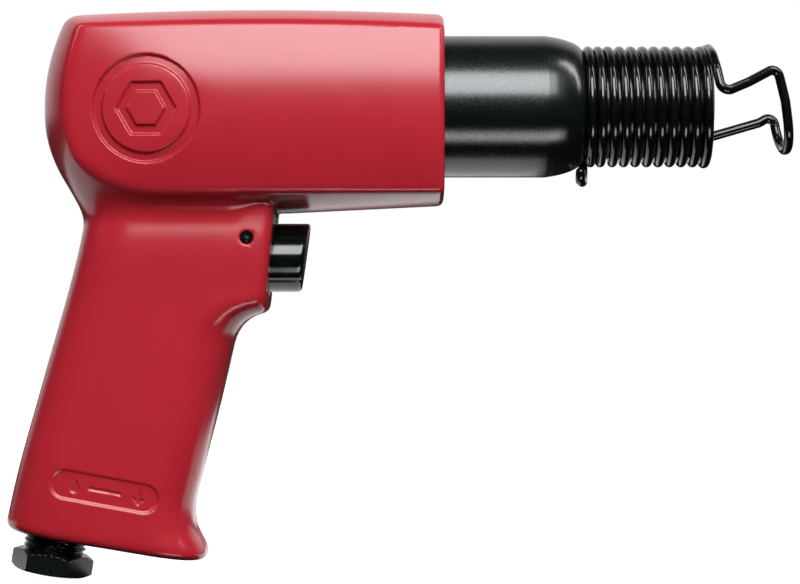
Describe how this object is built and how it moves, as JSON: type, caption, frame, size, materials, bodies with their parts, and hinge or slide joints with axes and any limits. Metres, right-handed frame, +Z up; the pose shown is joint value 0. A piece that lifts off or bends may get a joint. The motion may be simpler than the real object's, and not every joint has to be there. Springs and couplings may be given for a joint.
{
  "type": "pneumatic air hammer",
  "caption": "Pistol-grip air hammer: red cast housing and handle, black steel barrel with a coiled-spring chisel retainer, black push trigger and a threaded air inlet under the grip.",
  "frame": {"origin": "mouth of the chisel-shank bore, at the centre of the barrel's front face", "axes": "+X forward out of the barrel along its axis, +Z up with the grip hanging down, +Y to the operator's left"},
  "size_m": [0.2114, 0.047, 0.1524],
  "materials": {
    "red_paint": "satin",
    "black_oxide_steel": "satin",
    "dark_spring_steel": "gloss",
    "black_gloss_plastic": "gloss",
    "hardened_steel": "satin",
    "turned_brass": "satin",
    "screen_steel": "satin",
    "seal_rubber": "matte",
    "cushion_urethane": "satin",
    "grey_felt": "matte"
  },
  "bodies": {
    "tool": {"handle_housing": "red_paint", "barrel": "black_oxide_steel", "barrel_o_ring": "seal_rubber", "valve_block_front": "hardened_steel", "valve_block_rear": "hardened_steel", "valve_dowel_pin": "hardened_steel", "valve_cushion": "cushion_urethane", "trigger_pin": "dark_spring_steel", "throttle_bushing": "turned_brass", "throttle_bushing_o_ring": "seal_rubber", "throttle_stem_o_ring": "seal_rubber", "throttle_spring": "dark_spring_steel", "inlet_bushing": "black_oxide_steel", "inlet_screen": "screen_steel", "inlet_screen_clip": "screen_steel", "muffler_felt": "grey_felt", "exhaust_diffuser": "black_oxide_steel", "diffuser_snap_ring": "dark_spring_steel", "retainer_coil": "dark_spring_steel"},
    "piston": {"piston": "hardened_steel"},
    "shuttle_valve": {"shuttle_valve": "hardened_steel"},
    "trigger": {"trigger": "black_gloss_plastic"},
    "throttle_valve": {"throttle_valve": "hardened_steel", "throttle_seat_washer": "seal_rubber"},
    "retainer_loop": {"retainer_loop": "dark_spring_steel"}
  },
  "joints": [
    {"name": "trigger_slide", "type": "slide", "parent": "tool", "child": "trigger", "axis": [-1, 0, 0], "range_m": [0, 0.0045], "stiffness_N_per_m": 1500, "springref_m": -0.004},
    {"name": "throttle_valve_slide", "type": "slide", "parent": "tool", "child": "throttle_valve", "axis": [-1, 0, 0], "range_m": [0, 0.0045], "deforming": ["throttle_spring"]},
    {"name": "piston_slide", "type": "slide", "parent": "tool", "child": "piston", "axis": [1, 0, 0], "range_m": [0, 0.0665]},
    {"name": "shuttle_valve_slide", "type": "slide", "parent": "tool", "child": "shuttle_valve", "axis": [1, 0, 0], "range_m": [0, 0.0015]},
    {"name": "retainer_loop_flex", "type": "hinge", "parent": "tool", "child": "retainer_loop", "pos_m": [-0.0005, 0, 0.0152], "axis": [0, -1, 0], "range_deg": [0, 25], "stiffness_Nm_per_rad": 1.5}
  ],
  "couplings": [
    {"joint": "throttle_valve_slide", "follows": "trigger_slide", "ratio": 1}
  ]
}
